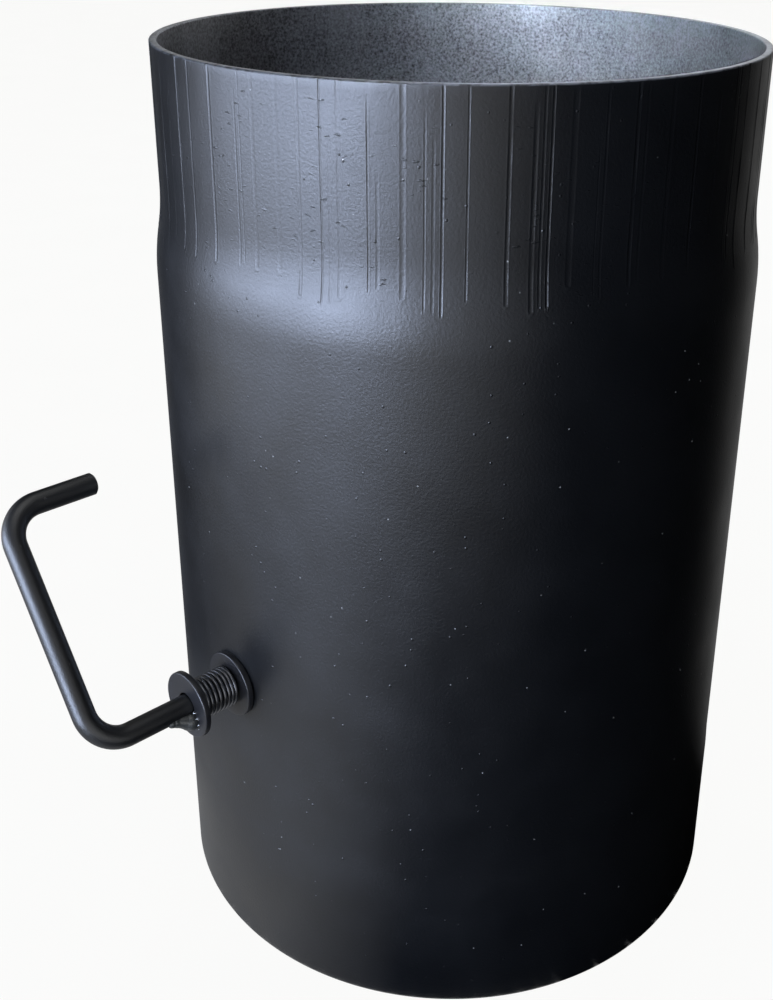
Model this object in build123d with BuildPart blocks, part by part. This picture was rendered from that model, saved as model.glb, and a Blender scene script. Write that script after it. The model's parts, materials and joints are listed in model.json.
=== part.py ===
"""Flue pipe section with a built-in butterfly damper, in millimetres.

The pipe stands on its plain end with +Z up and the origin on its axis at the lower rim.
The upper end is swaged in to a spigot that enters the next pipe. A bent rod crosses the pipe,
carries the damper disc inside and ends outside in a handle. A compression spring between two
washers draws the rod outwards, so that friction holds the disc where it is set.
"""

import os
from math import cos, radians, sin, sqrt

from build123d import *

# Pipe
bore = 160.0  # nominal inside diameter
wall = 2.0  # sheet thickness
pipe_length = 250.0
spigot_clearance = 0.2  # radial, between the spigot and the nominal bore
spigot_length = 37.0  # straight part of the swaged end
shoulder_length = 23.0  # S-shaped reduction below the spigot
socket_depth = 40.0  # sized stretch of the plain end, which takes the next spigot
socket_ease = 0.2  # radial widening of the sized stretch
socket_taper = 6.0  # run-out from the sized stretch to the plain bore
rim_break = 0.4  # deburred edges of the spigot rim

# Damper rod and handle
rod = 6.0  # bar diameter
rod_clearance = 0.1  # radial, in the holes of the pipe wall
rod_tip_chamfer = 0.5
shaft_height = 87.0  # shaft axis above the lower rim
handle_standoff = 40.9  # outside of the pipe to the middle of the grip
handle_rise = 63.3  # shaft axis to the middle of the return leg
handle_return = 25.4  # middle of the grip to the tip of the return leg
bend_inside = 6.0  # inside radius of both bends
far_end_proud = 4.0  # shaft end past the far wall
rest_tilt = 36.0  # degrees that the handle leans back from vertical

# Friction spring and its washers
washer = 18.0  # outside diameter
washer_thickness = 1.6
washer_clearance = 0.2  # radial, between a washer and the rod
washer_seat = 0.05  # paint film between the inner washer and the pipe
spring_length = 11.7  # as fitted, between the washers
spring_wire = 1.0
spring_coil_gap = 0.18  # between neighbouring coils, as fitted
spring_clearance = 1.5  # radial, between the coils and the rod
spring_slip = 0.05  # running gap between the spring and the inner washer
small_facets = 6  # sides of the wire and of the tack weld, few to keep their meshes light

# Damper disc
disc_thickness = 2.0
disc_clearance = 2.0  # radial, between the disc and the pipe bore
disc_bearing_gap = 0.35  # least gap between the disc's near edge and the wall, at any angle
bypass_depth = 26.0  # height of the segment left open when the damper is shut

# Welds
disc_weld_spacing = 90.0  # between the two places where the rod is tacked to the disc
disc_weld_length = 16.0
disc_weld_root = 1.2  # distance of the weld's root from the line of contact
disc_weld_leg = 4.6  # reach of the weld along the disc
disc_weld_height = 2.6  # reach of the weld up the rod
tack_length = 7.5  # washer tack weld, along the rod
tack_foot = 2.9  # its radius on the washer
tack_tip = 1.1  # its radius at the far end
tack_bulge = 0.5  # how far the far end stands proud of the rod

# Radii and places that follow
bore_r = bore / 2
pipe_r = bore_r + wall
socket_r = bore_r + socket_ease
spigot_r = bore_r - spigot_clearance
spigot_base = pipe_length - spigot_length
shoulder_base = spigot_base - shoulder_length
rod_r = rod / 2
bend_r = bend_inside + rod_r
reach = pipe_r + handle_standoff
washer_r = washer / 2
washer_hole_r = rod_r + washer_clearance
inner_washer_back = pipe_r + washer_seat
inner_washer_face = inner_washer_back + washer_thickness
outer_washer_back = inner_washer_face + spring_length
outer_washer_face = outer_washer_back + washer_thickness
disc_r = bore_r - disc_clearance
disc_far_face = rod_r + disc_thickness
disc_shift = sqrt((bore_r - disc_bearing_gap) ** 2 - disc_far_face**2) - disc_r

# The damper's own plane: x outwards along the shaft, y along the grip, z square to the disc
damper_plane = Plane(
    origin=(0, 0, shaft_height),
    x_dir=(-1, 0, 0),
    z_dir=(0, cos(radians(rest_tilt)), -sin(radians(rest_tilt))),
)


def shaft_section(distance):
    """Plane square to the shaft at a distance from the pipe axis, with x along the grip."""
    return Plane(
        origin=damper_plane.from_local_coords((distance, 0, 0)),
        x_dir=damper_plane.y_dir,
        z_dir=damper_plane.x_dir,
    )


def wall_line(socket_radius, body_radius, spigot_radius):
    """One side of the pipe wall, from the lower rim to the spigot rim."""
    shoulder_middle = ((body_radius + spigot_radius) / 2, shoulder_base + shoulder_length / 2)
    Line((socket_radius, 0), (socket_radius, socket_depth))
    Line((socket_radius, socket_depth), (body_radius, socket_depth + socket_taper))
    Line((body_radius, socket_depth + socket_taper), (body_radius, shoulder_base))
    TangentArc((body_radius, shoulder_base), shoulder_middle, tangent=(0, 1))
    TangentArc((spigot_radius, spigot_base), shoulder_middle, tangent=(0, -1))
    Line((spigot_radius, spigot_base), (spigot_radius, pipe_length))


# Pipe: rolled and welded sheet, swaged in at the top, sized at the bottom, drilled for the shaft
with BuildPart() as flue_pipe:
    with BuildSketch(Plane.XZ):
        with BuildLine():
            wall_line(socket_r + wall, pipe_r, spigot_r)
            wall_line(socket_r, bore_r, spigot_r - wall)
            Line((socket_r, 0), (socket_r + wall, 0))
            Line((spigot_r - wall, pipe_length), (spigot_r, pipe_length))
        make_face()
    revolve(axis=Axis.Z)
    chamfer(flue_pipe.faces().sort_by(Axis.Z)[-1].edges(), rim_break)
    with BuildSketch(shaft_section(-reach)):
        Circle(rod_r + rod_clearance)
    extrude(amount=2 * reach, mode=Mode.SUBTRACT)

# Handle and shaft: one bar with two square bends
with BuildPart() as damper_handle:
    with BuildLine(damper_plane):
        bar_line = FilletPolyline(
            (-pipe_r - far_end_proud, 0),
            (reach, 0),
            (reach, handle_rise),
            (reach - handle_return, handle_rise),
            radius=bend_r,
        )
    with BuildSketch(Plane(origin=bar_line @ 0, z_dir=bar_line % 0)):
        Circle(rod_r)
    sweep(path=bar_line)
    tips = damper_handle.faces().filter_by(GeomType.PLANE)
    chamfer(tips.edges(), rod_tip_chamfer)

# Disc: plate laid against the rod, with a segment cut off for the least draught
with BuildPart() as damper_disc:
    with BuildSketch(damper_plane.offset(-rod_r)):
        with Locations((disc_shift, 0)):
            Circle(disc_r)
        with Locations((disc_shift, -disc_r)):
            Rectangle(2 * disc_r, 2 * bypass_depth, mode=Mode.SUBTRACT)
    extrude(amount=-disc_thickness)

# Welds of the disc: short fillets on both sides of the rod, at two places
with BuildPart() as disc_welds:
    for place in (-disc_weld_spacing / 2, disc_weld_spacing / 2):
        with BuildSketch(shaft_section(place - disc_weld_length / 2)):
            for side in (-1, 1):
                Polygon(
                    (side * disc_weld_root, -rod_r),
                    (side * disc_weld_leg, -rod_r),
                    (side * rod_r, disc_weld_height - rod_r),
                    (side * disc_weld_root, disc_weld_height - rod_r),
                    align=None,
                )
            Circle(rod_r, mode=Mode.SUBTRACT)
        extrude(amount=disc_weld_length)


def washer_ring(back):
    """Punched washer on the rod, with its back face at a distance from the pipe axis."""
    with BuildPart() as ring:
        with BuildSketch(shaft_section(back)):
            Circle(washer_r)
            Circle(washer_hole_r, mode=Mode.SUBTRACT)
        extrude(amount=washer_thickness)
    return ring


inner_washer = washer_ring(inner_washer_back)
outer_washer = washer_ring(outer_washer_back)

# Spring: helical wire with plain ends, resting on both washers
spring_r = rod_r + spring_clearance + spring_wire / 2
spring_base = inner_washer_face + spring_slip + spring_wire / 2
spring_height = outer_washer_back - spring_wire / 2 - spring_base
spring_turns = round(spring_height / (spring_wire + spring_coil_gap))
with BuildPart() as friction_spring:
    with BuildLine():
        coil = Helix(
            pitch=spring_height / spring_turns,
            height=spring_height,
            radius=spring_r,
            center=shaft_section(spring_base).origin,
            direction=damper_plane.x_dir,
        )
    with BuildSketch(Plane(origin=coil @ 0, z_dir=coil % 0)):
        RegularPolygon(spring_wire / 2, small_facets)
    sweep(path=coil, is_frenet=True)

# Tack weld that holds the outer washer to the rod, on the side away from the grip
with BuildPart() as washer_weld:
    with BuildSketch(shaft_section(outer_washer_face)):
        with Locations((-washer_hole_r - tack_foot / 2, 0)):
            RegularPolygon(tack_foot, small_facets)
    with BuildSketch(shaft_section(outer_washer_face + tack_length)):
        with Locations((tack_tip - tack_bulge - rod_r, 0)):
            RegularPolygon(tack_tip, small_facets)
    loft()
    with BuildSketch(shaft_section(outer_washer_face)):
        Circle(rod_r)
    extrude(amount=tack_length, mode=Mode.SUBTRACT)

pieces = {
    "flue_pipe": flue_pipe,
    "damper_handle": damper_handle,
    "damper_disc": damper_disc,
    "disc_welds": disc_welds,
    "outer_washer": outer_washer,
    "washer_weld": washer_weld,
    "friction_spring": friction_spring,
    "inner_washer": inner_washer,
}
os.makedirs("parts", exist_ok=True)
for name, piece in pieces.items():
    piece.part.label = name
    export_step(piece.part, f"parts/{name}.step")
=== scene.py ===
"""Flue pipe section with a butterfly damper: its looks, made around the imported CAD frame.

The file is laid out as a Blender add-on. Each operator makes one piece, or a group of like pieces, in
metres and in the frame's own place, and hides the CAD node that it stands for.
"""

import json
import random
from math import asin, cos, pi, radians, sin, sqrt

import bmesh
import bpy
from mathutils import Euler, Matrix, Vector, noise


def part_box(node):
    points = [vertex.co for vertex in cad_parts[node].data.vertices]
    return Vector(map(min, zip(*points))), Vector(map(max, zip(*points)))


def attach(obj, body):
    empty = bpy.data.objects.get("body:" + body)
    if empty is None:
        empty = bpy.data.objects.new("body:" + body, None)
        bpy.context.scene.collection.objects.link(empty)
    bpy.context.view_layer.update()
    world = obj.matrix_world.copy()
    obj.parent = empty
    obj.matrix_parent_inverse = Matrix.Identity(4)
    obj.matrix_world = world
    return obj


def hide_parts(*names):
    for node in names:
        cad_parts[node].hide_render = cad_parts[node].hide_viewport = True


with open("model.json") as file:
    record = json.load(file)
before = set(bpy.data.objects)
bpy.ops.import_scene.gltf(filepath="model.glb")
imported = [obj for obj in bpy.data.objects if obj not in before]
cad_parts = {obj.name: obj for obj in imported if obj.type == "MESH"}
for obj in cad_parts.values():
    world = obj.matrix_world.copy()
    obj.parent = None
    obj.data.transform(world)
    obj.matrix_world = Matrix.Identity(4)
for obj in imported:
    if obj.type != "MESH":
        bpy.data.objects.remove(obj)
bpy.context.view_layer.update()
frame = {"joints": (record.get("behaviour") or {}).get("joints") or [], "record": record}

bl_info = {
    "name": "Flue Pipe Section with Damper",
    "version": (1, 0, 0),
    "blender": (4, 5, 0),
    "location": "View3D > Sidebar > Flue Pipe",
    "description": "Makes a swaged steel flue pipe with a spring-held butterfly damper",
    "category": "Add Mesh",
}

MM = 0.001

# Places that the CAD model gives
mounts = {mount["name"]: mount["dims"] for mount in frame["record"]["mounts"]}
shaft = Vector(frame["joints"][0]["pos_m"])
pipe_low, pipe_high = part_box("flue_pipe")
handle_low, handle_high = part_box("damper_handle")
inner_low, inner_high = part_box("inner_washer")
outer_low, outer_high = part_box("outer_washer")


def linear(code):
    """Linear colour of an sRGB hex value."""
    channels = [int(code[i : i + 2], 16) / 255 for i in (0, 2, 4)]
    return tuple(c / 12.92 if c <= 0.04045 else ((c + 0.055) / 1.055) ** 2.4 for c in channels)


def number(name, description, default, **settings):
    """Number property."""
    return bpy.props.FloatProperty(name=name, description=description, default=default, **settings)


def length(name, description, default):
    """Length property, in metres."""
    return number(name, description, default, unit="LENGTH", precision=5)


def colour(name, description, code):
    """Colour property from an sRGB hex value."""
    return bpy.props.FloatVectorProperty(
        name=name, description=description, default=linear(code), subtype="COLOR", size=3, min=0, max=1
    )


class PipeSettings(bpy.types.PropertyGroup):
    """Sizes and colours of the pipe."""

    height: length("Height", "Lower rim to spigot rim", pipe_high.z - pipe_low.z)
    wall: length("Wall", "Sheet thickness", 2 * MM)
    body_radius: length("Body radius", "Outside radius of the plain body", 82 * MM)
    spigot_radius: length("Spigot radius", "Outside radius of the swaged end", mounts["spigot"]["r_mm"] * MM)
    socket_radius: length("Socket radius", "Inside radius of the sized end", mounts["socket"]["r_mm"] * MM)
    socket_depth: length("Socket depth", "Depth of the sized lower end", mounts["socket"]["length_mm"] * MM)
    socket_taper: length("Socket taper", "Run-out of the sized end into the body", 6 * MM)
    spigot_base: length("Spigot base", "Height where the straight spigot starts", 213 * MM)
    shoulder_base: length("Shoulder base", "Height where the reduction starts", 190 * MM)
    hole_radius: length("Hole radius", "Shaft hole in the wall", 3.1 * MM)
    mark_gap: length("Mark gap", "Middling gap between jaw marks that don't lie in pairs", 4.6 * MM)
    mark_half_width: length("Mark half width", "Half the width of a middling jaw mark", 0.38 * MM)
    mark_depth: length("Mark depth", "Depth of the deepest jaw marks", 0.08 * MM)
    mark_foot: length("Mark foot", "Height of the lowest mark ends", 200.8 * MM)
    mark_spread: length("Mark spread", "How much higher the other mark ends are", 6.0 * MM)
    paint: colour("Paint", "Outside stove paint", "0B0C0E")
    steel: colour("Steel", "Bare steel inside", "9C9EA2")


class DamperSettings(bpy.types.PropertyGroup):
    """Sizes and colours of the damper and its handle."""

    rod_radius: length("Rod radius", "Radius of the bent bar", 3 * MM)
    bend_radius: length("Bend radius", "Radius of the bar's middle line at both bends", 9 * MM)
    tip_chamfer: length("Tip chamfer", "Broken edge of the bar's ends", 0.5 * MM)
    tilt: number("Tilt", "Lean of the handle from upright", radians(36), subtype="ANGLE")
    rise: length("Rise", "Shaft to the middle of the return leg", 63.3 * MM)
    return_leg: length("Return leg", "Middle of the grip to the tip", 25.4 * MM)
    washer_radius: length("Washer radius", "Outside radius of both washers", 9 * MM)
    washer_hole: length("Washer hole", "Hole radius of both washers", 3.4 * MM)
    wire_radius: length("Wire radius", "Radius of the spring wire", 0.5 * MM)
    coil_radius: length("Coil radius", "Radius of the coil's middle line", 5 * MM)
    coil_turns: number("Coil turns", "Turns of the spring", 9)
    disc_radius: length("Disc radius", "Radius of the damper disc", 78 * MM)
    disc_shift: length("Disc shift", "Offset of the disc towards the handle", 1.49 * MM)
    disc_thickness: length("Disc thickness", "Plate thickness", 2 * MM)
    bypass_depth: length("Bypass depth", "Height of the segment that is cut off", 26 * MM)
    paint: colour("Paint", "Stove paint of the handle", "131416")
    # The same stove paint as the handle's, made lighter: painted light for the washers' lit faces
    washer: colour("Washer", "Stove paint of the washers", "1E1E21")
    plate: colour("Plate", "Painted mill scale of the disc", "1E1E1F")
    wire: colour("Wire", "Oil-blackened spring wire", "8E9096")
    spatter: colour("Spatter", "Bare drops beside the tack weld", "C9CBCD")
    # Lighter than the other stove paint: painted light that stands in for the light on the weld's top
    weld: colour("Weld", "Painted weld metal", "383937")


class StageSettings(bpy.types.PropertyGroup):
    """Floor and light."""

    floor: colour("Floor", "Matt paper sweep", "FEFEFD")
    window: number("Window", "Radiance of the low window lights", 2.7)
    skylight: number("Skylight", "Radiance of the narrow high light", 3.3)
    rim: number("Rim", "Radiance of the light from behind", 3.0)
    top: number("Top", "Radiance of the overhead light", 0.9)
    paleness: number("Paleness", "Share of the paper's even tone", 0.96)
    room: number("Room", "Strength of the room's own light", 0.08)


def node(tree, kind, inputs=None, out=0, **settings):
    """Adds a node and gives one of its outputs, or all of them where out is None.

    Each input is a value or a socket to link, by name or number.
    """
    made = tree.nodes.new(kind)
    for name, value in settings.items():
        setattr(made, name, value)
    for name, value in (inputs or {}).items():
        if isinstance(value, bpy.types.NodeSocket):
            tree.links.new(value, made.inputs[name])
        else:
            made.inputs[name].default_value = value
    return made.outputs if out is None else made.outputs[out]


def node_tree(name, **inputs):
    """Geometry node tree with named inputs, and the sockets that they give."""
    tree = bpy.data.node_groups.new(name, "GeometryNodeTree")
    tree.interface.new_socket("Geometry", in_out="INPUT", socket_type="NodeSocketGeometry")
    for label, kind in inputs.items():
        tree.interface.new_socket(label, in_out="INPUT", socket_type="NodeSocket" + kind)
    tree.interface.new_socket("Geometry", in_out="OUTPUT", socket_type="NodeSocketGeometry")
    return tree, node(tree, "NodeGroupInput", out=None)


def end_tree(tree, shape, *finishes):
    """Ends a geometry node tree: instances made real, then each material on all faces or on those chosen."""
    shape = node(tree, "GeometryNodeRealizeInstances", {0: shape})
    for material, faces in finishes:
        given = {"Geometry": shape, "Selection": faces, "Material": material}
        shape = node(tree, "GeometryNodeSetMaterial", given)
    node(tree, "NodeGroupOutput", {0: shape}, out=None)
    return tree


def grow(name, base, tree, **values):
    """Runs a node tree on a base mesh and keeps the result as a plain mesh at the origin."""
    piece = bpy.data.objects.new(name, base)
    modifier = piece.modifiers.new(tree.name, "NODES")
    modifier.node_group = tree
    for item in tree.interface.items_tree:
        if item.in_out == "INPUT" and item.name in values:
            modifier[item.identifier] = values[item.name]
    bpy.context.scene.collection.objects.link(piece)
    graph = bpy.context.evaluated_depsgraph_get()
    mesh = bpy.data.meshes.new_from_object(piece.evaluated_get(graph), depsgraph=graph)
    piece.modifiers.clear()
    piece.data = mesh
    mesh.name = name
    return piece


def show(name, mesh, material):
    """Object at the origin for a mesh that is already in place."""
    mesh.materials.append(material)
    piece = bpy.data.objects.new(name, mesh)
    bpy.context.scene.collection.objects.link(piece)
    return piece


def settle(piece, body, node_name, sharp=radians(35)):
    """Smooths a finished piece and puts it on its body, in place of its CAD node where it has one."""
    piece.data.shade_smooth()
    piece.data.set_sharp_from_angle(angle=sharp)
    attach(piece, body)
    if node_name:
        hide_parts(node_name)


def turned_mesh(name, rings):
    """Closed mesh of revolution about Z.

    A ring is a radius, a height and the rising angles of its columns.
    """
    points, faces, starts = [], [], []
    for radius, height, angles in rings:
        starts.append(len(points))
        points += [(radius * cos(a), radius * sin(a), height) for a in angles]
    for lower in range(len(rings)):
        upper = (lower + 1) % len(rings)
        below, above = rings[lower][2], rings[upper][2]
        low, high = starts[lower], starts[upper]
        n, m = len(below), len(above)
        if below is above:
            faces += [(low + i, low + (i + 1) % n, high + (i + 1) % n, high + i) for i in range(n)]
            continue
        # Rings with other columns are joined by triangles, always to the nearer next point
        i = j = 0
        while i < n or j < m:
            next_below = below[(i + 1) % n] + 2 * pi * ((i + 1) // n)
            next_above = above[(j + 1) % m] + 2 * pi * ((j + 1) // m)
            if j == m or (i < n and next_below <= next_above):
                faces.append((low + i % n, low + (i + 1) % n, high + j % m))
                i += 1
            else:
                faces.append((low + i % n, high + (j + 1) % m, high + j % m))
                j += 1
    mesh = bpy.data.meshes.new(name)
    mesh.from_pydata(points, [], faces)
    return mesh


def corner(radius, height, size, start, steps=4):
    """Points of a rounded corner about a centre, turning a quarter to the left from a start angle."""
    turns = [start + pi / 2 * i / steps for i in range(steps + 1)]
    return [(radius + size * cos(a), height + size * sin(a)) for a in turns]


def damper_matrix(settings):
    """Damper's own frame: x outwards along the shaft, y along the grip, z square to the disc."""
    out = Vector((-1, 0, 0))
    grip = Vector((0, sin(settings.tilt), cos(settings.tilt)))
    turn = Matrix((out, grip, out.cross(grip))).transposed().to_4x4()
    return Matrix.Translation(shaft) @ turn


def along_shaft(settings, distance):
    """Frame with z outwards along the shaft, at a distance from the pipe's axis."""
    out = Matrix.Translation((distance, 0, 0)) @ Matrix.Rotation(pi / 2, 4, "Y")
    return damper_matrix(settings) @ out


def new_material(name, constants):
    """Material with its node tree and its shader, some of whose inputs are constants."""
    material = bpy.data.materials.new(name)
    material.use_nodes = True
    shader = material.node_tree.nodes["Principled BSDF"]
    for socket, value in constants.items():
        shader.inputs[socket].default_value = value
    return material, material.node_tree, shader


def stove_paint(name, base, rough, peel, depth, dust=0.0, spigot=None):
    """Silicone stove paint filled with graphite, sprayed thinly and air dried.

    It gives the eye a near-black satin with a leathery peel, a few hard nibs and specks of pale dust. The
    graphite makes it shine more than plain paint does. Between two heights of a spigot it also shows short
    tears across the swaging marks, and a thin pale line along the rim that is partly rubbed paint and partly
    a painted highlight.
    """
    material, tree, shader = new_material(name, {"IOR": 1.75})
    place = node(tree, "ShaderNodeTexCoord", out="Object")
    grain = node(
        tree, "ShaderNodeTexNoise", {"Vector": place, "Scale": 1 / peel, "Detail": 3, "Roughness": 0.6}
    )
    cloud = node(tree, "ShaderNodeTexNoise", {"Vector": place, "Scale": 1 / (18 * MM), "Detail": 4})
    nibs = node(tree, "ShaderNodeTexVoronoi", {"Vector": place, "Scale": 1 / (3.2 * MM)}, out=None)
    nib = node(
        tree, "ShaderNodeMapRange", {0: nibs["Distance"], 1: 0.04, 2: 0.12, 3: 1.0, 4: 0.0},
        interpolation_type="SMOOTHSTEP",
    )
    rare = node(tree, "ShaderNodeSeparateColor", {0: nibs["Color"]})
    kept = node(tree, "ShaderNodeMath", {0: rare, 1: 0.6}, operation="GREATER_THAN")
    nib = node(tree, "ShaderNodeMath", {0: nib, 1: kept}, operation="MULTIPLY")
    height = node(tree, "ShaderNodeMath", {0: nib, 1: 1.6, 2: grain}, operation="MULTIPLY_ADD")
    dull = node(tree, "ShaderNodeMapRange", {0: cloud, 1: 0.3, 2: 0.7, 3: rough[0], 4: rough[1]})
    specks = node(tree, "ShaderNodeTexVoronoi", {"Vector": place, "Scale": 1 / (6 * MM)})
    speck = node(tree, "ShaderNodeMapRange", {0: specks, 1: 0.018, 2: 0.042, 3: dust, 4: 0.0})
    thin = [c * 1.5 for c in base]
    face = node(tree, "ShaderNodeMix", {0: cloud, 6: (*base, 1), 7: (*thin, 1)}, data_type="RGBA", out=2)
    pale = (*linear("A8A8A4"), 1)
    face = node(tree, "ShaderNodeMix", {0: speck, 6: face, 7: pale}, data_type="RGBA", out=2)
    if spigot:
        foot, rim = spigot
        level = node(tree, "ShaderNodeSeparateXYZ", {0: place}, out="Z")
        wobble = node(tree, "ShaderNodeTexNoise", {"Vector": place, "Scale": 1 / (1.6 * MM)}, out="Color")
        bent = node(
            tree, "ShaderNodeVectorMath", {0: wobble, 1: (1.2 * MM,) * 3, 2: place}, operation="MULTIPLY_ADD"
        )
        squat = node(tree, "ShaderNodeMapping", {"Vector": bent, "Scale": (1, 1, 3.6)})
        tears = node(tree, "ShaderNodeTexVoronoi", {"Vector": squat, "Scale": 1 / (4.5 * MM)})
        tear = node(
            tree, "ShaderNodeMapRange", {0: tears, 1: 0.07, 2: 0.2, 3: 1.0, 4: 0.0},
            interpolation_type="SMOOTHSTEP",
        )
        groups = node(tree, "ShaderNodeTexNoise", {"Vector": place, "Scale": 1 / (16 * MM)})
        chosen = node(tree, "ShaderNodeMapRange", {0: groups, 1: 0.48, 2: 0.6})
        above = node(tree, "ShaderNodeMapRange", {0: level, 1: foot, 2: foot + 5 * MM})
        below = node(tree, "ShaderNodeMapRange", {0: level, 1: rim - 5 * MM, 2: rim, 3: 1, 4: 0})
        for mask in (chosen, above, below):
            tear = node(tree, "ShaderNodeMath", {0: tear, 1: mask}, operation="MULTIPLY")
        height = node(tree, "ShaderNodeMath", {0: tear, 1: 1.4, 2: height}, operation="MULTIPLY_ADD")
        # Thin pale line along the rim, broken by noise: partly rubbed paint, partly a painted highlight on
        # the rim's edge
        edge = node(
            tree, "ShaderNodeMapRange", {0: level, 1: rim - 0.55 * MM, 2: rim - 0.2 * MM},
            interpolation_type="SMOOTHSTEP",
        )
        wear_and_highlight_breaks = node(tree, "ShaderNodeTexNoise", {"Vector": place, "Scale": 1 / (2.2 * MM), "Detail": 3})
        wear_and_highlight_breaks = node(tree, "ShaderNodeMapRange", {0: wear_and_highlight_breaks, 1: 0.36, 2: 0.56})
        wear_and_highlight = node(tree, "ShaderNodeMath", {0: edge, 1: wear_and_highlight_breaks}, operation="MULTIPLY")
        bright = (*linear("62656A"), 1)
        face = node(tree, "ShaderNodeMix", {0: wear_and_highlight, 6: face, 7: bright}, data_type="RGBA", out=2)
    bump = node(tree, "ShaderNodeBump", {"Height": height, "Strength": 1.0, "Distance": depth})
    tree.links.new(bump, shader.inputs["Normal"])
    tree.links.new(dull, shader.inputs["Roughness"])
    tree.links.new(face, shader.inputs["Base Color"])
    return material


def blackened_wire(name, base):
    """Drawn spring steel wire, blackened in hot oil.

    It gives the eye a dark grey metal with soft streaks along the coils.
    """
    material, tree, shader = new_material(name, {"Metallic": 1.0})
    place = node(tree, "ShaderNodeTexCoord", out="Object")
    streaks = node(tree, "ShaderNodeTexNoise", {"Vector": place, "Scale": 1 / (0.8 * MM), "Detail": 3})
    dark = [c * 0.7 for c in base]
    face = node(tree, "ShaderNodeMix", {0: streaks, 6: (*dark, 1), 7: (*base, 1)}, data_type="RGBA", out=2)
    tree.links.new(face, shader.inputs["Base Color"])
    dull = node(tree, "ShaderNodeMapRange", {0: streaks, 1: 0.3, 2: 0.7, 3: 0.33, 4: 0.37})
    tree.links.new(dull, shader.inputs["Roughness"])
    bump = node(tree, "ShaderNodeBump", {"Height": streaks, "Strength": 1.0, "Distance": 0.003 * MM})
    tree.links.new(bump, shader.inputs["Normal"])
    return material


def misted_steel(name, steel, paint):
    """Bare rolled steel inside the pipe, with dry paint mist on it.

    It gives the eye a rough, finely speckled dark metal that turns grey only towards the light.
    """
    material, tree, shader = new_material(name, {"Roughness": 0.52})
    place = node(tree, "ShaderNodeTexCoord", out="Object")
    grit = node(
        tree, "ShaderNodeTexNoise", {"Vector": place, "Scale": 1 / (0.75 * MM), "Detail": 2, "Roughness": 0.6}
    )
    cloud = node(tree, "ShaderNodeTexNoise", {"Vector": place, "Scale": 1 / (22 * MM), "Detail": 4})
    mixed = node(tree, "ShaderNodeMath", {0: cloud, 1: 0.6, 2: grit}, operation="MULTIPLY_ADD")
    mist = node(tree, "ShaderNodeMapRange", {0: mixed, 1: 0.54, 2: 1.06, 3: 0.04, 4: 1.0})
    face = node(tree, "ShaderNodeMix", {0: mist, 6: (*steel, 1), 7: (*paint, 1)}, data_type="RGBA", out=2)
    tree.links.new(face, shader.inputs["Base Color"])
    bare = node(tree, "ShaderNodeMath", {0: 1.0, 1: mist}, operation="SUBTRACT")
    tree.links.new(bare, shader.inputs["Metallic"])
    bump = node(tree, "ShaderNodeBump", {"Height": grit, "Strength": 1.0, "Distance": 0.03 * MM})
    tree.links.new(bump, shader.inputs["Normal"])
    return material


def bare_spatter(name, base):
    """Weld spatter, frozen in the air and left unpainted.

    It gives the eye small bright glints beside the dark weld.
    """
    material, tree, shader = new_material(name, {"Metallic": 1.0})
    place = node(tree, "ShaderNodeTexCoord", out="Object")
    stain = node(tree, "ShaderNodeTexNoise", {"Vector": place, "Scale": 1 / (0.6 * MM), "Detail": 2})
    dark = [c * 0.35 for c in base]
    face = node(tree, "ShaderNodeMix", {0: stain, 6: (*base, 1), 7: (*dark, 1)}, data_type="RGBA", out=2)
    tree.links.new(face, shader.inputs["Base Color"])
    dull = node(tree, "ShaderNodeMapRange", {0: stain, 1: 0.3, 2: 0.7, 3: 0.2, 4: 0.5})
    tree.links.new(dull, shader.inputs["Roughness"])
    return material


# What each point of the spigot knows of its jaw mark
MARK_TRAITS = ("mark_side", "mark_half", "mark_foot", "mark_head", "mark_depth")


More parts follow.
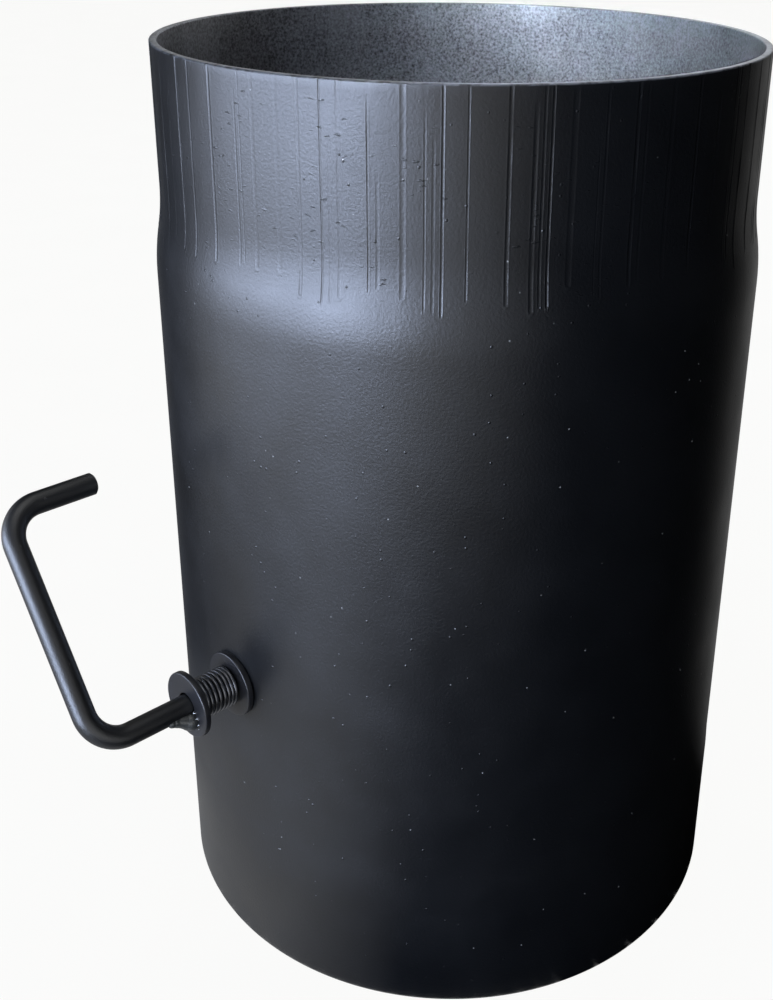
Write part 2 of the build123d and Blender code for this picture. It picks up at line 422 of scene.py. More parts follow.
def swage_tree():
    """Marks of the swaging jaws on the spigot, the seam weld and the shaft holes."""
    tree, given = node_tree(
        "swaged_pipe", Turn="Float", Lip="Float", Shaft="Float", Hole="Float",
        Outside="Material", Inside="Material",
    )
    place = node(tree, "GeometryNodeInputPosition")
    turned = node(
        tree, "ShaderNodeVectorRotate", {"Vector": place, "Axis": (0, 0, 1), "Angle": given["Turn"]},
        rotation_type="AXIS_ANGLE",
    )
    split = node(tree, "ShaderNodeSeparateXYZ", {0: turned}, out=None)
    flat = node(tree, "ShaderNodeVectorMath", {0: place, 1: (1, 1, 0)}, operation="MULTIPLY")
    across = node(tree, "ShaderNodeVectorMath", {0: flat}, operation="LENGTH", out="Value")
    radial = node(tree, "ShaderNodeVectorMath", {0: flat}, operation="NORMALIZE")
    angle = node(tree, "ShaderNodeMath", {0: split["Y"], 1: split["X"]}, operation="ARCTAN2")

    # A jaw mark is a flat-bottomed groove with a round foot and a raised lip all round
    side, half, foot, head, depth = [
        node(tree, "GeometryNodeInputNamedAttribute", {"Name": trait}, data_type="FLOAT")
        for trait in MARK_TRAITS
    ]
    past = []
    for upper, lower in ((foot, split["Z"]), (split["Z"], head)):
        excess = node(tree, "ShaderNodeMath", {0: upper, 1: lower}, operation="SUBTRACT")
        past.append(node(tree, "ShaderNodeMath", {0: excess, 1: 0}, operation="MAXIMUM"))
    under, over = past
    apart = node(tree, "ShaderNodeCombineXYZ", {0: side, 1: under, 2: over})
    apart = node(tree, "ShaderNodeVectorMath", {0: apart}, operation="LENGTH", out="Value")
    apart = node(tree, "ShaderNodeMath", {0: apart, 1: half}, operation="DIVIDE")
    groove = node(
        tree, "ShaderNodeMapRange", {0: apart, 1: 0.7, 2: 1.1, 3: -1, 4: 0}, interpolation_type="SMOOTHSTEP"
    )
    below = node(tree, "ShaderNodeMath", {0: under, 1: half}, operation="DIVIDE")
    heap = node(tree, "ShaderNodeMapRange", {0: below, 1: 0.2, 2: 1.1, 3: 1.0, 4: 4.0})
    heap = node(tree, "ShaderNodeMath", {0: heap, 1: given["Lip"]}, operation="MULTIPLY")
    rise = node(
        tree, "ShaderNodeMapRange", {0: apart, 1: 0.9, 2: 1.3, 3: 0, 4: heap}, interpolation_type="SMOOTHSTEP"
    )
    fall = node(
        tree, "ShaderNodeMapRange", {0: apart, 1: 1.3, 2: 1.75, 3: 1, 4: 0}, interpolation_type="SMOOTHSTEP"
    )
    shape = node(tree, "ShaderNodeMath", {0: rise, 1: fall, 2: groove}, operation="MULTIPLY_ADD")
    press = node(tree, "ShaderNodeTexNoise", {"Vector": place, "Scale": 1 / (9 * MM), "Detail": 2})
    press = node(tree, "ShaderNodeMapRange", {0: press, 1: 0.3, 2: 0.7, 3: 0.35, 4: 1.2})
    dent = node(tree, "ShaderNodeMath", {0: shape, 1: depth}, operation="MULTIPLY")
    dent = node(tree, "ShaderNodeMath", {0: dent, 1: press}, operation="MULTIPLY")

    # Seam weld, ground nearly flush, on the side away from the turned frame's zero
    away = node(tree, "ShaderNodeMath", {0: angle}, operation="ABSOLUTE")
    away = node(tree, "ShaderNodeMath", {0: pi, 1: away}, operation="SUBTRACT")
    away = node(tree, "ShaderNodeMath", {0: away, 1: across}, operation="MULTIPLY")
    bead = node(
        tree, "ShaderNodeMapRange", {0: away, 1: 0.4 * MM, 2: 2.4 * MM, 3: 0.42 * MM, 4: 0},
        interpolation_type="SMOOTHSTEP",
    )
    ripple = node(tree, "ShaderNodeTexNoise", {"Vector": place, "Scale": 1 / (2.5 * MM)})
    bead = node(tree, "ShaderNodeMath", {0: bead, 1: ripple}, operation="MULTIPLY")
    normal = node(tree, "GeometryNodeInputNormal")
    facing = node(tree, "ShaderNodeVectorMath", {0: normal, 1: radial}, operation="DOT_PRODUCT", out="Value")
    proud = node(tree, "ShaderNodeMapRange", {0: facing, 1: -1, 2: 1, 3: -0.12, 4: 1.0})
    push = node(tree, "ShaderNodeMath", {0: bead, 1: proud, 2: dent}, operation="MULTIPLY_ADD")
    offset = node(tree, "ShaderNodeVectorMath", {0: radial, "Scale": push}, operation="SCALE")
    marked = node(tree, "GeometryNodeSetPosition", {"Geometry": given["Geometry"], "Offset": offset})

    # Shaft holes through both walls
    drill = node(tree, "GeometryNodeMeshCylinder", {"Vertices": 64, "Radius": given["Hole"], "Depth": 0.3})
    centre = node(tree, "ShaderNodeCombineXYZ", {2: given["Shaft"]})
    drill = node(
        tree, "GeometryNodeTransform",
        {"Geometry": drill, "Translation": centre, "Rotation": Euler((0, pi / 2, 0))},
    )
    drilled = node(
        tree, "GeometryNodeMeshBoolean", {"Mesh 1": marked, "Mesh 2": drill},
        operation="DIFFERENCE", solver="EXACT",
    )
    inward = node(tree, "FunctionNodeCompare", {0: facing, 1: -0.3}, operation="LESS_THAN")
    return end_tree(tree, drilled, (given["Outside"], True), (given["Inside"], inward))


class FLUE_OT_pipe(bpy.types.Operator):
    """Make the swaged pipe with its jaw marks, seam and shaft holes"""

    bl_idname = "flue.pipe"
    bl_label = "Flue Pipe"

    seed = 7
    seam = radians(45)
    seam_half = 3.2 * MM
    seam_columns = 16
    plain_columns = 304
    plain_gap = 1.9 * MM  # widest gap between columns of the spigot
    edge_round = 0.3 * MM
    rim_round = 0.45 * MM
    # Columns across a mark, in half widths, and the traits of a point that no mark touches
    knots = (-2.1, -1.75, -1.3, -1.1, -0.7, 0.0, 0.7, 1.1, 1.3, 1.75, 2.1)
    unmarked = (1.0, MM, 0.0, 1.0, 0.0)
    # Heights of the rings in mm, close together where the marks end
    body = [40, 43, 46, 60, 80, 100, 120, 140, 160, 175, 186]
    shoulder = [188, 190, 192, 194, 196, 198, 199] + [199.8 + 0.36 * i for i in range(23)]
    spigot = [208.4, 209.5, 211, 213] + [215.5 + 3 * i for i in range(11)] + [248]
    inside = [231, 213, 210, 207, 204, 201.5, 199, 196, 193, 190, 160, 125, 90, 65, 46, 43, 40]

    def jaw_marks(self, s, start, end):
        """Marks along an arc of the spigot, many of them in pairs.

        A mark is its middle, half width, foot, head and depth.
        """
        draw = random.Random(self.seed)
        marks = []
        place = start
        while True:
            half = s.mark_half_width * draw.uniform(0.55, 1.6)
            paired = marks and draw.random() < 0.38
            gap = s.mark_gap * (draw.uniform(0.04, 0.16) if paired else draw.uniform(0.35, 1.6))
            foot = s.mark_foot + s.mark_spread * draw.random()
            if paired:
                foot = marks[-1][2] + MM * draw.uniform(-1.2, 1.2)
            head = s.height + 2 * MM
            if draw.random() < 0.25:
                head = s.height - MM * draw.uniform(5, 24)
            depth = s.mark_depth * draw.uniform(0.3, 1.0)
            middle = place + gap + self.knots[-1] * half
            place = middle + self.knots[-1] * half
            if place > end:
                return marks
            marks.append((middle, half, foot, head, depth))

    def spigot_columns(self, s, seam, last):
        """Columns of the spigot, close together at each mark: an angle and its mark's traits for each."""
        columns = [(a, *self.unmarked) for a in seam]
        start = self.seam * s.spigot_radius + self.seam_half
        for middle, half, *traits in self.jaw_marks(s, start, last * s.spigot_radius):
            for knot in self.knots:
                columns.append(((middle + knot * half) / s.spigot_radius, abs(knot) * half, half, *traits))
        whole = []
        for column, after in zip(columns, columns[1:] + [(columns[0][0] + 2 * pi,)]):
            gap = after[0] - column[0]
            extra = int(gap * s.spigot_radius / self.plain_gap)
            whole.append(column)
            whole += [(column[0] + gap * i / (extra + 1), *self.unmarked) for i in range(1, extra + 1)]
        return whole

    def wall_radius(self, s, height):
        """Outside radius of the pipe at a height."""
        reduction = s.body_radius - s.spigot_radius
        half = (s.spigot_base - s.shoulder_base) / 2
        bend = (half**2 + (reduction / 2) ** 2) / reduction
        if height <= s.socket_depth:
            return s.socket_radius + s.wall
        if height < s.socket_depth + s.socket_taper:
            share = (height - s.socket_depth) / s.socket_taper
            return s.socket_radius + s.wall + (s.body_radius - s.socket_radius - s.wall) * share
        if height <= s.shoulder_base:
            return s.body_radius
        if height < s.shoulder_base + half:
            return s.body_radius - bend + sqrt(bend**2 - (height - s.shoulder_base) ** 2)
        if height < s.spigot_base:
            return s.spigot_radius + bend - sqrt(bend**2 - (s.spigot_base - height) ** 2)
        return s.spigot_radius

    def execute(self, context):
        s = context.scene.flue_pipe
        half = self.seam_half / s.body_radius
        seam = [self.seam + half * (2 * i / self.seam_columns - 1) for i in range(self.seam_columns + 1)]
        round_step = (2 * pi - 2 * half) / self.plain_columns
        coarse = seam + [seam[-1] + round_step * i for i in range(1, self.plain_columns)]
        columns = self.spigot_columns(s, seam, seam[0] + 2 * pi)
        fine = [column[0] for column in columns]

        edge, rim = self.edge_round, self.rim_round
        outer = s.socket_radius + s.wall
        inner = s.spigot_radius - s.wall
        rings = [(r, z, coarse) for r, z in corner(outer - edge, edge, edge, -pi / 2, 2)]
        rings += [(self.wall_radius(s, z * MM), z * MM, coarse) for z in self.body]
        rings += [(self.wall_radius(s, z * MM), z * MM, fine) for z in self.shoulder + self.spigot]
        rings += [(r, z, fine) for r, z in corner(s.spigot_radius - rim, s.height - rim, rim, 0)]
        rings += [(r, z, coarse) for r, z in corner(inner + rim, s.height - rim, rim, pi / 2)]
        rings += [(self.wall_radius(s, z * MM) - s.wall, z * MM, coarse) for z in self.inside]
        rings += [(r, z, coarse) for r, z in corner(s.socket_radius + edge, edge, edge, pi, 2)]
        mesh = turned_mesh("flue_pipe_lathe", rings)
        for k, trait in enumerate(MARK_TRAITS):
            marked = [column[k + 1] for column in columns]
            values = []
            for radius, height, angles in rings:
                values += marked if angles is fine else [self.unmarked[k]] * len(angles)
            mesh.attributes.new(trait, "FLOAT", "POINT").data.foreach_set("value", values)
        piece = grow(
            "flue_pipe_body", mesh, swage_tree(), Turn=pi - self.seam, Lip=0.6, Shaft=shaft.z,
            Hole=s.hole_radius,
            Outside=stove_paint(
                "stove_paint_satin", s.paint, (0.35, 0.42), peel=0.7 * MM, depth=0.06 * MM, dust=0.8,
                spigot=(s.mark_foot, s.height),
            ),
            Inside=misted_steel("bare_steel_with_paint_mist", s.steel, s.paint),
        )
        settle(piece, "pipe", "flue_pipe", radians(60))
        return {"FINISHED"}


def bar_tree():
    """Round bar bent along a line with rounded corners."""
    tree, given = node_tree("bent_bar", Radius="Float", Bend="Float", Chamfer="Float", Paint="Material")
    line = node(tree, "GeometryNodeMeshToCurve", {"Mesh": given["Geometry"]})
    # Of the line's six points, only the two in the middle are bends
    index = node(tree, "GeometryNodeInputIndex")
    off = node(tree, "ShaderNodeMath", {0: index, 1: 2.5}, operation="SUBTRACT")
    off = node(tree, "ShaderNodeMath", {0: off}, operation="ABSOLUTE")
    bent = node(tree, "ShaderNodeMath", {0: off, 1: 1}, operation="LESS_THAN")
    bend = node(tree, "ShaderNodeMath", {0: bent, 1: given["Bend"]}, operation="MULTIPLY")
    line = node(tree, "GeometryNodeFilletCurve", {"Curve": line, "Count": 18, "Radius": bend}, mode="POLY")
    ends = node(tree, "GeometryNodeCurveEndpointSelection", {0: 1, 1: 1})
    narrow = node(tree, "ShaderNodeMath", {0: given["Radius"], 1: given["Chamfer"]}, operation="SUBTRACT")
    width = node(tree, "GeometryNodeSwitch", {0: ends, 1: given["Radius"], 2: narrow}, input_type="FLOAT")
    profile = node(tree, "GeometryNodeCurvePrimitiveCircle", {"Resolution": 48, "Radius": 1.0})
    bar = node(
        tree, "GeometryNodeCurveToMesh",
        {"Curve": line, "Profile Curve": profile, "Scale": width, "Fill Caps": True},
    )
    return end_tree(tree, bar, (given["Paint"], True))


class FLUE_OT_handle(bpy.types.Operator):
    """Make the bent bar that is both handle and shaft"""

    bl_idname = "flue.handle"
    bl_label = "Damper Handle"

    def execute(self, context):
        s = context.scene.flue_damper
        reach = -handle_low.x - s.rod_radius
        tip = reach - s.return_leg
        line = [
            (-handle_high.x, 0, 0), (s.tip_chamfer - handle_high.x, 0, 0), (reach, 0, 0),
            (reach, s.rise, 0), (tip + s.tip_chamfer, s.rise, 0), (tip, s.rise, 0),
        ]
        base = bpy.data.meshes.new("bar_line")
        base.from_pydata(line, [(i, i + 1) for i in range(len(line) - 1)], [])
        base.transform(damper_matrix(s))
        piece = grow(
            "damper_handle_bar", base, bar_tree(), Radius=s.rod_radius, Bend=s.bend_radius,
            Chamfer=s.tip_chamfer,
            Paint=stove_paint("stove_paint_rod", s.paint, (0.34, 0.42), peel=0.35 * MM, depth=0.065 * MM),
        )
        settle(piece, "damper", "damper_handle")
        return {"FINISHED"}


def spring_tree():
    """Coil spring with closed ends, standing on its own axis."""
    tree, given = node_tree(
        "coil_spring", Coil="Float", Wire="Float", Turns="Float", Height="Float", Finish="Material"
    )
    coil = node(
        tree, "GeometryNodeCurveSpiral",
        {"Resolution": 48, "Rotations": given["Turns"], "Start Radius": given["Coil"],
         "End Radius": given["Coil"], "Height": given["Height"]},
    )
    # The first and last turn lie coil on coil, and the turns between share the rest of the height
    share = node(tree, "GeometryNodeSplineParameter", out="Factor")
    turn = node(tree, "ShaderNodeMath", {0: share, 1: given["Turns"]}, operation="MULTIPLY")
    wire = node(tree, "ShaderNodeMath", {0: given["Wire"], 1: 2.02}, operation="MULTIPLY")
    first = node(tree, "ShaderNodeMath", {0: turn, 1: wire}, operation="MULTIPLY")
    full = node(tree, "ShaderNodeMath", {0: given["Turns"], 1: wire}, operation="MULTIPLY")
    spare = node(tree, "ShaderNodeMath", {0: given["Height"], 1: full}, operation="SUBTRACT")
    last_turn = node(tree, "ShaderNodeMath", {0: given["Turns"], 1: 1}, operation="SUBTRACT")
    opened = node(
        tree, "ShaderNodeMapRange", {0: turn, 1: 1, 2: last_turn, 3: 0, 4: spare},
        interpolation_type="SMOOTHSTEP",
    )
    level = node(tree, "ShaderNodeMath", {0: first, 1: opened}, operation="ADD")
    place = node(tree, "GeometryNodeInputPosition")
    flat = node(tree, "ShaderNodeVectorMath", {0: place, 1: (1, 1, 0)}, operation="MULTIPLY")
    lift = node(tree, "ShaderNodeCombineXYZ", {2: level})
    there = node(tree, "ShaderNodeVectorMath", {0: flat, 1: lift}, operation="ADD")
    coil = node(tree, "GeometryNodeSetPosition", {"Geometry": coil, "Position": there})
    profile = node(tree, "GeometryNodeCurvePrimitiveCircle", {"Resolution": 14, "Radius": given["Wire"]})
    wound = node(
        tree, "GeometryNodeCurveToMesh", {"Curve": coil, "Profile Curve": profile, "Fill Caps": True}
    )
    return end_tree(tree, wound, (given["Finish"], True))


class FLUE_OT_spring(bpy.types.Operator):
    """Make the friction spring on the shaft"""

    bl_idname = "flue.spring"
    bl_label = "Friction Spring"

    start = radians(150)

    def execute(self, context):
        s = context.scene.flue_damper
        base = bpy.data.meshes.new("spring_start")
        bottom = -inner_low.x + s.wire_radius
        top = -outer_high.x - s.wire_radius
        piece = grow(
            "friction_spring_coil", base, spring_tree(), Coil=s.coil_radius, Wire=s.wire_radius,
            Turns=s.coil_turns, Height=top - bottom,
            Finish=blackened_wire("oil_blackened_spring_wire", s.wire),
        )
        piece.data.transform(along_shaft(s, bottom) @ Matrix.Rotation(self.start, 4, "Z"))
        settle(piece, "damper", "friction_spring")
        return {"FINISHED"}


class FLUE_OT_washers(bpy.types.Operator):
    """Make both punched washers"""

    bl_idname = "flue.washers"
    bl_label = "Washers"

    columns = 128
    roll = 0.35 * MM  # rounding of the face that the punch met
    burr = 0.15 * MM  # rounding of the other face
    waviness = 0.006
    wave_length = 5 * MM

    def execute(self, context):
        s = context.scene.flue_damper
        # Lighter than the handle's paint: a painted lit tone of the same stove paint
        paint = stove_paint("stove_paint_washer", s.washer, (0.34, 0.42), peel=0.5 * MM, depth=0.03 * MM)
        angles = [2 * pi * i / self.columns for i in range(self.columns)]
        roll, burr = self.roll, self.burr
        for name, body, low, high in (
            ("inner_washer", "pipe", inner_low, inner_high),
            ("outer_washer", "damper", outer_low, outer_high),
        ):
            thick = high.x - low.x
            line = corner(s.washer_radius - burr, burr, burr, -pi / 2, 3)
            line += corner(s.washer_radius - roll, thick - roll, roll, 0, 5)
            line += corner(s.washer_hole + roll, thick - roll, roll, pi / 2, 5)
            line += corner(s.washer_hole + burr, burr, burr, pi, 3)
            mesh = turned_mesh(name + "_ring", [(r, z, angles) for r, z in line])
            for vertex in mesh.vertices:
                wave = noise.noise(vertex.co / self.wave_length + Vector((0, 0, high.x / MM)))
                vertex.co.xy *= 1 + self.waviness * wave
            mesh.transform(along_shaft(s, -high.x))
            piece = show(name + "_ring", mesh, paint)
            settle(piece, body, name)
        return {"FINISHED"}


def bead_tree():
    """Weld metal that runs together from a row of drops."""
    tree, given = node_tree("weld_bead", Voxel="Float", Metal="Material")
    size = node(tree, "GeometryNodeInputNamedAttribute", {"Name": "drop"}, data_type="FLOAT")
    drops = node(tree, "GeometryNodeMeshToPoints", {"Mesh": given["Geometry"], "Radius": size})
    pool = node(
        tree, "GeometryNodePointsToVolume",
        {"Points": drops, "Density": 1.0, "Voxel Size": given["Voxel"], "Radius": size},
        resolution_mode="VOXEL_SIZE",
    )
    skin = node(tree, "GeometryNodeVolumeToMesh", {"Volume": pool, "Threshold": 0.1})
    return end_tree(tree, skin, (given["Metal"], True))


def drop_mesh(name, drops):
    """Loose points with a drop size each."""
    mesh = bpy.data.meshes.new(name)
    mesh.from_pydata([place for place, size in drops], [], [])
    sizes = mesh.attributes.new("drop", "FLOAT", "POINT")
    sizes.data.foreach_set("value", [size for place, size in drops])
    return mesh


class FLUE_OT_welds(bpy.types.Operator):
    """Make the washer's tack weld and the disc's fillet welds"""

    bl_idname = "flue.welds"
    bl_label = "Welds"

    tack_drops = 14
    fillet_drops = 11
    fillet_step = 1.45 * MM
    fillet_places = (-45 * MM, 45 * MM)  # along the shaft
    # Each drop beside the tack weld has its turn round the weld in degrees, its distance and its size in mm
    spatter = (
        (-60, 3.1, 0.46), (-66, 3.5, 0.3), (-92, 3.0, 0.38), (-97, 3.45, 0.24), (-127, 3.1, 0.3),
        (-150, 3.3, 0.24), (58, 3.1, 0.34), (96, 3.2, 0.26), (140, 3.0, 0.34),
    )
    spatter_middle = -4.0 * MM  # from the shaft's middle line, away from the grip

    def tack(self, face):
        """Drops of the tack weld, thick on the washer's face and thin along the rod."""
        drops = []
        for i in range(self.tack_drops):
            share = i / (self.tack_drops - 1)
            thick = (1 - share) ** 1.5
            wave = noise.noise(Vector((i * 0.9, 3.1, 0.4)))
            along = face + (0.9 + 5.0 * share) * MM
            centre = (along, -(2.5 + 1.7 * thick) * MM, (0.35 * wave - 0.6) * MM)
            drops.append((centre, (1.25 + 1.15 * thick + 0.12 * wave) * MM))
        return drops

    def loose_drops(self, face):
        """Drops of spatter on the washer's face."""
        drops = []
        for turn, off, size in self.spatter:
            up = self.spatter_middle + off * cos(radians(turn)) * MM
            drops.append(((face + 0.05 * MM, up, off * sin(radians(turn)) * MM), size * MM))
        return drops

    def fillets(self, root):
        """Drops of the disc's fillet welds, in rows along both sides of the rod."""
        drops = []
        for place in self.fillet_places:
            for side in (-1, 1):
                for i in range(self.fillet_drops):
                    wave = noise.noise(Vector((place / MM, side, i * 1.7)))
                    along = place + (i - self.fillet_drops // 2) * self.fillet_step
                    centre = (along, side * (2.7 + 0.2 * wave) * MM, root + 0.8 * MM)
                    drops.append((centre, (1.75 + 0.25 * wave) * MM))
        return drops

    def execute(self, context):
        s = context.scene.flue_damper
        tree = bead_tree()
        # The weld's lighter tone is painted light for its lit top, not a different paint
        metal = stove_paint("weld_metal_painted", s.weld, (0.28, 0.40), peel=0.8 * MM, depth=0.04 * MM)
        bare = bare_spatter("bare_weld_spatter", s.spatter)
        face = -outer_low.x
        for name, drops, voxel, finish, replaced in (
            ("washer_weld_tack", self.tack(face), 0.12 * MM, metal, "washer_weld"),
            ("washer_weld_spatter", self.loose_drops(face), 0.1 * MM, bare, None),
            ("disc_weld_beads", self.fillets(-s.rod_radius), 0.25 * MM, metal, "disc_welds"),
        ):
            piece = grow(name, drop_mesh(name + "_drops", drops), tree, Voxel=voxel, Metal=finish)
            piece.data.transform(damper_matrix(s))
            settle(piece, "damper", replaced, radians(80))
        return {"FINISHED"}


class FLUE_OT_disc(bpy.types.Operator):
    """Make the damper disc with its bypass segment"""

    bl_idname = "flue.disc"
    bl_label = "Damper Disc"

    rim_steps = 200
    edge_round = 0.3 * MM

    def execute(self, context):
        s = context.scene.flue_damper
        start = asin((s.disc_radius - s.bypass_depth) / s.disc_radius)
        sweep = pi + 2 * start
        made = bmesh.new()
        rim = []
        for i in range(self.rim_steps + 1):
            a = sweep * i / self.rim_steps - start
            place = (s.disc_shift + s.disc_radius * cos(a), s.disc_radius * sin(a), -s.rod_radius)
            rim.append(made.verts.new(place))
        plate = made.faces.new(rim)
        lower = bmesh.ops.extrude_face_region(made, geom=[plate])["geom"]
        moved = [v for v in lower if isinstance(v, bmesh.types.BMVert)]
        bmesh.ops.translate(made, verts=moved, vec=(0, 0, -s.disc_thickness))
        bmesh.ops.recalc_face_normals(made, faces=made.faces)
        edges = [e for e in made.edges if len(e.link_faces) == 2 and e.calc_face_angle() > radians(60)]
        bmesh.ops.bevel(made, geom=edges, offset=self.edge_round, segments=3, profile=0.6, affect="EDGES")
        mesh = bpy.data.meshes.new("damper_disc_plate")
        made.to_mesh(mesh)
        made.free()
        mesh.transform(damper_matrix(s))
        paint = stove_paint(
            "stove_paint_on_mill_scale", s.plate, (0.45, 0.65), peel=0.7 * MM, depth=0.04 * MM, dust=0.5
        )
        piece = show("damper_disc_plate", mesh, paint)
        settle(piece, "damper", "damper_disc")
        return {"FINISHED"}


def matt_paper(name, base, paleness):
    """Matt backdrop paper.

    It gives the eye an even, pale ground. To the eye and to mirrors most of it glows in its own tone, so that
    only part of its shade and shadow is left.
    """
    material, tree, shader = new_material(name, {"Roughness": 0.9, "Specular IOR Level": 0.1})
    place = node(tree, "ShaderNodeTexCoord", out="Object")
    fibre = node(tree, "ShaderNodeTexNoise", {"Vector": place, "Scale": 1 / (60 * MM), "Detail": 3})
    dark = [c * 0.985 for c in base]
    tone = node(tree, "ShaderNodeMix", {0: fibre, 6: (*dark, 1), 7: (*base, 1)}, data_type="RGBA", out=2)
    tree.links.new(tone, shader.inputs["Base Color"])
    path = node(tree, "ShaderNodeLightPath", out=None)
    seen = path["Is Camera Ray"]
    for ray in ("Is Glossy Ray", "Is Transmission Ray"):
        seen = node(tree, "ShaderNodeMath", {0: seen, 1: path[ray]}, operation="ADD")
    share = node(tree, "ShaderNodeMath", {0: seen, 1: paleness}, operation="MULTIPLY", use_clamp=True)
    glow = node(tree, "ShaderNodeEmission", {"Color": tone, "Strength": 1.0})
    sheet = node(tree, "ShaderNodeMixShader", {0: share, 1: shader.outputs[0], 2: glow})
    tree.links.new(sheet, tree.nodes["Material Output"].inputs["Surface"])
    return material


def black_gauze(name):
    """Black gauze, as dense as its mesh says.

    It gives the eye nothing by itself, and darkens what the paint mirrors.
    """
    black = (*linear("050505"), 1)
    material, tree, shader = new_material(
        name, {"Base Color": black, "Roughness": 1.0, "Specular IOR Level": 0.0}
    )
    dense = node(tree, "ShaderNodeAttribute", out="Fac", attribute_name="cover")
    clear = node(tree, "ShaderNodeBsdfTransparent")
    cloth = node(tree, "ShaderNodeMixShader", {0: dense, 1: clear, 2: shader.outputs[0]})
    tree.links.new(cloth, tree.nodes["Material Output"].inputs["Surface"])
    return material


def paper_sweep(name, flat=3.2, bend=1.0, wall=1.5, columns=96):
    """Mesh of a round floor that bends up into a wall, in metres."""
    turns = [pi / 2 * i / 16 for i in range(1, 17)]
    line = [(0.2, 0), (0.6, 0), (1.4, 0), (flat, 0)]
    line += [(flat + bend * sin(a), bend - bend * cos(a)) for a in turns]
    line.append((flat + bend, bend + wall))
    points = [(0, 0, 0)]
    for r, z in line:
        points += [(r * cos(2 * pi * i / columns), r * sin(2 * pi * i / columns), z) for i in range(columns)]
    faces = [(0, 1 + i, 1 + (i + 1) % columns) for i in range(columns)]
    for ring in range(len(line) - 1):
        for i in range(columns):
            a, b = 1 + ring * columns + i, 1 + ring * columns + (i + 1) % columns
            faces.append((a, a + columns, b + columns, b))
    mesh = bpy.data.meshes.new(name)
    mesh.from_pydata(points, [], faces)
    mesh.shade_smooth()
    return mesh


def curtain(name, runs, steps=8):
    """Mesh of strips round the pipe.

    A strip's station has its azimuth, how dense the cloth is there, and the radius and height of two edges.
    """
    points, faces, cover = [], [], []
    for stations in runs:
        start = len(points)
        for this, after in zip(stations, stations[1:]):
            for i in range(steps + 1 if after == stations[-1] else steps):
                share = i / steps
                a = radians(this[0] + (after[0] - this[0]) * share)
                for edge, next_edge in zip(this[2:], after[2:]):
                    radius, z = Vector(edge).lerp(Vector(next_edge), share)
                    points.append((radius * sin(a), -radius * cos(a), z))
                    cover.append(this[1] + (after[1] - this[1]) * share)
        faces += [(i, i + 1, i + 3, i + 2) for i in range(start, len(points) - 2, 2)]
    mesh = bpy.data.meshes.new(name)
    mesh.from_pydata(points, [], faces)
    mesh.attributes.new("cover", "FLOAT", "POINT").data.foreach_set("value", cover)
    return mesh


def area_light(name, place, aim, width, height, radiance, tone):
    """Softbox with a given radiance, which points at a place."""
    lamp = bpy.data.lights.new(name, "AREA")
    lamp.shape = "RECTANGLE"
    lamp.size = width
    lamp.size_y = height
    lamp.energy = radiance * pi * width * height
    lamp.color = linear(tone)
    holder = bpy.data.objects.new(name, lamp)
    holder.location = place
    holder.rotation_euler = (Vector(aim) - Vector(place)).to_track_quat("-Z", "Y").to_euler()
    bpy.context.scene.collection.objects.link(holder)
    return holder


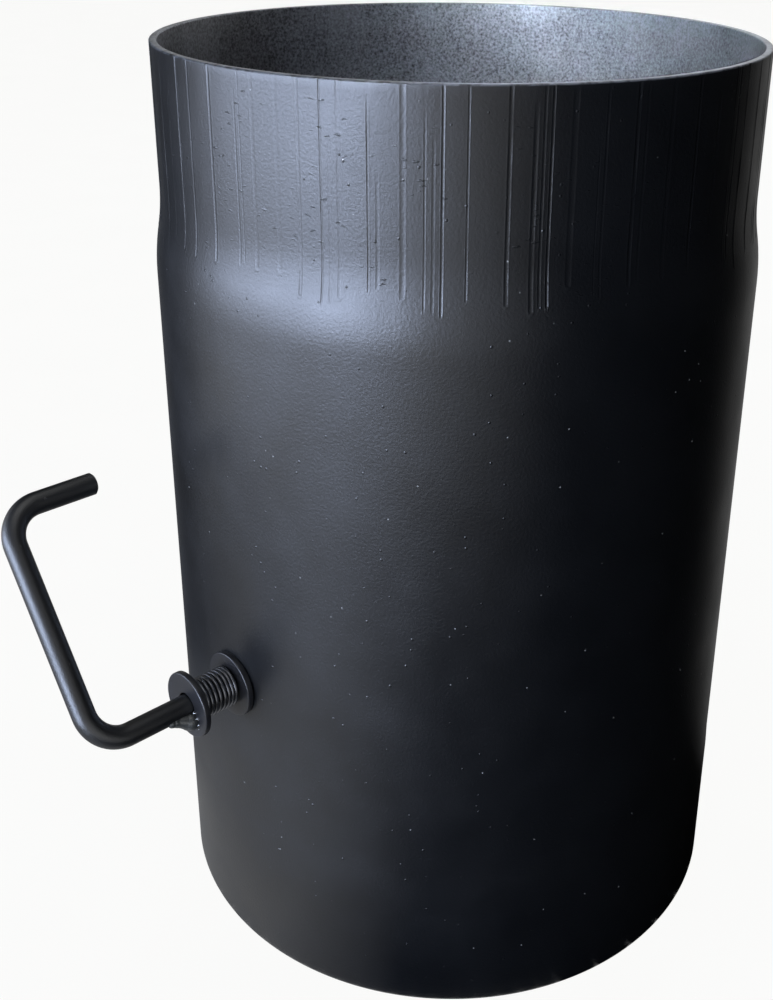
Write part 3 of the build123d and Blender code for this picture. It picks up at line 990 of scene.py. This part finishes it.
class FLUE_OT_stage(bpy.types.Operator):
    """Make the floor, the light and the camera"""

    bl_idname = "flue.stage"
    bl_label = "Stage"

    middle = Vector((0, 0, 0.14))
    # Black gauze round the pipe and on the floor before it, which only mirrors see, stands for a dark room
    near, low, far, high = (0.0823, 0.0003), (0.15, 0.0003), (0.42, 0.0003), (0.15, 0.40)
    upright = (
        (-58, 0.0, (0.15, 0.12), high), (-22, 1.0, low, high), (50, 1.0, low, high), (74, 0.6, low, high),
        (100, 0.35, low, high), (175, 0.4, low, high), (202, 0.97, low, high), (226, 0.97, low, high),
        (252, 0.0, low, high),
    )
    lying = (
        (-155, 0.8, near, low), (-130, 0.6, near, far), (-85, 0.6, near, far), (-55, 1.0, near, far),
        (-22, 1.0, near, far), (50, 1.0, near, low), (74, 0.6, near, low), (100, 0.35, near, low),
        (175, 0.4, near, low), (205, 0.8, near, low),
    )
    # A strip that only shadows see keeps the low windows out of the pipe
    flag_low, flag_high = (0.3, 0.256), (0.3, 0.33)
    flag = ((-165, 1.0, flag_low, flag_high), (-45, 1.0, flag_low, flag_high))

    def around(self, azimuth, elevation, distance):
        """Place round the middle of the pipe, with azimuth 0 at the front."""
        turn, tip = radians(azimuth), radians(elevation)
        return Vector((sin(turn) * cos(tip), -cos(turn) * cos(tip), sin(tip))) * distance + self.middle

    def set_lights(self, s, floor):
        """Two low windows, a narrow beam into the pipe's mouth, a light from behind and the ceiling."""
        for name, azimuth, width, share in (
            ("window_left", -124, 0.75, 0.5), ("window_right", -88, 1.15, 1.0),
        ):
            place = self.around(azimuth, 3, 1.3)
            window = area_light(name, place, self.middle, width, 0.42, share * s.window, "CCDDFF")
            window.data.spread = radians(70)
        place = self.around(-81, 37, 1.2)
        skylight = area_light("skylight", place, (0.03, 0, 0.277), 0.12, 0.12, s.skylight, "E0EAFF")
        skylight.data.spread = radians(8)
        # What passes over the pipe would leave a bright spot on the paper
        unlit = bpy.data.collections.new("not_under_skylight")
        unlit.objects.link(floor)
        unlit.collection_objects[0].light_linking.link_state = "EXCLUDE"
        skylight.light_linking.receiver_collection = unlit
        area_light("rim", self.around(120, 28, 1.4), self.middle, 0.8, 0.5, s.rim, "EEF3FF")
        area_light("ceiling", (0.1, -0.2, 2.2), (0, 0, 0), 2.2, 2.2, s.top, "FFFFFF")

    def set_camera(self, scene):
        """Camera that was fitted to the pipe's outline."""
        data = bpy.data.cameras.new("camera")
        data.sensor_width = 36
        data.lens = 45.065
        data.shift_x = -0.0562
        data.shift_y = -0.1198
        data.clip_start = 0.01
        camera = bpy.data.objects.new("camera", data)
        camera.location = (-0.2381, -0.23893, 0.29162)
        camera.rotation_euler = (radians(67.498), radians(-0.693), radians(-44.017))
        scene.collection.objects.link(camera)
        scene.camera = camera

    def execute(self, context):
        scene = context.scene
        s = scene.flue_stage
        scene.view_settings.view_transform = "Standard"
        floor = show("floor", paper_sweep("paper_sweep"), matt_paper("matt_paper", s.floor, s.paleness))

        world = bpy.data.worlds.new("room")
        world.use_nodes = True
        sky = world.node_tree.nodes["Background"].inputs
        sky["Color"].default_value = (*linear("E8ECF2"), 1)
        sky["Strength"].default_value = s.room
        scene.world = world

        self.set_lights(s, floor)
        gauze = black_gauze("black_gauze")
        for name, runs, unseen in (
            ("black_card", (self.upright, self.lying), ("camera", "shadow", "diffuse")),
            ("window_flag", (self.flag,), ("camera", "glossy", "diffuse")),
        ):
            cloth = show(name, curtain(name, runs), gauze)
            for ray in unseen:
                setattr(cloth, "visible_" + ray, False)
        self.set_camera(scene)
        return {"FINISHED"}


class FLUE_PT_panel(bpy.types.Panel):
    """Lists the pieces of the flue pipe"""

    bl_idname = "FLUE_PT_panel"
    bl_label = "Flue Pipe"
    bl_space_type = "VIEW_3D"
    bl_region_type = "UI"
    bl_category = "Flue Pipe"

    def draw(self, context):
        for group in (context.scene.flue_pipe, context.scene.flue_damper, context.scene.flue_stage):
            box = self.layout.box()
            for name in group.__annotations__:
                box.prop(group, name)
        for operator in OPERATORS:
            self.layout.operator(operator.bl_idname)


GROUPS = {"flue_pipe": PipeSettings, "flue_damper": DamperSettings, "flue_stage": StageSettings}
OPERATORS = (
    FLUE_OT_pipe, FLUE_OT_handle, FLUE_OT_disc, FLUE_OT_washers, FLUE_OT_spring, FLUE_OT_welds, FLUE_OT_stage,
)


def register():
    for name, group in GROUPS.items():
        bpy.utils.register_class(group)
        setattr(bpy.types.Scene, name, bpy.props.PointerProperty(type=group))
    for operator in OPERATORS:
        bpy.utils.register_class(operator)
    bpy.utils.register_class(FLUE_PT_panel)


def unregister():
    bpy.utils.unregister_class(FLUE_PT_panel)
    for operator in reversed(OPERATORS):
        bpy.utils.unregister_class(operator)
    for name, group in GROUPS.items():
        delattr(bpy.types.Scene, name)
        bpy.utils.unregister_class(group)


def main():
    """Makes the stage and every piece."""
    register()
    bpy.ops.flue.stage()
    bpy.ops.flue.pipe()
    bpy.ops.flue.handle()
    bpy.ops.flue.disc()
    bpy.ops.flue.washers()
    bpy.ops.flue.spring()
    bpy.ops.flue.welds()


if __name__ == "__main__":
    main()
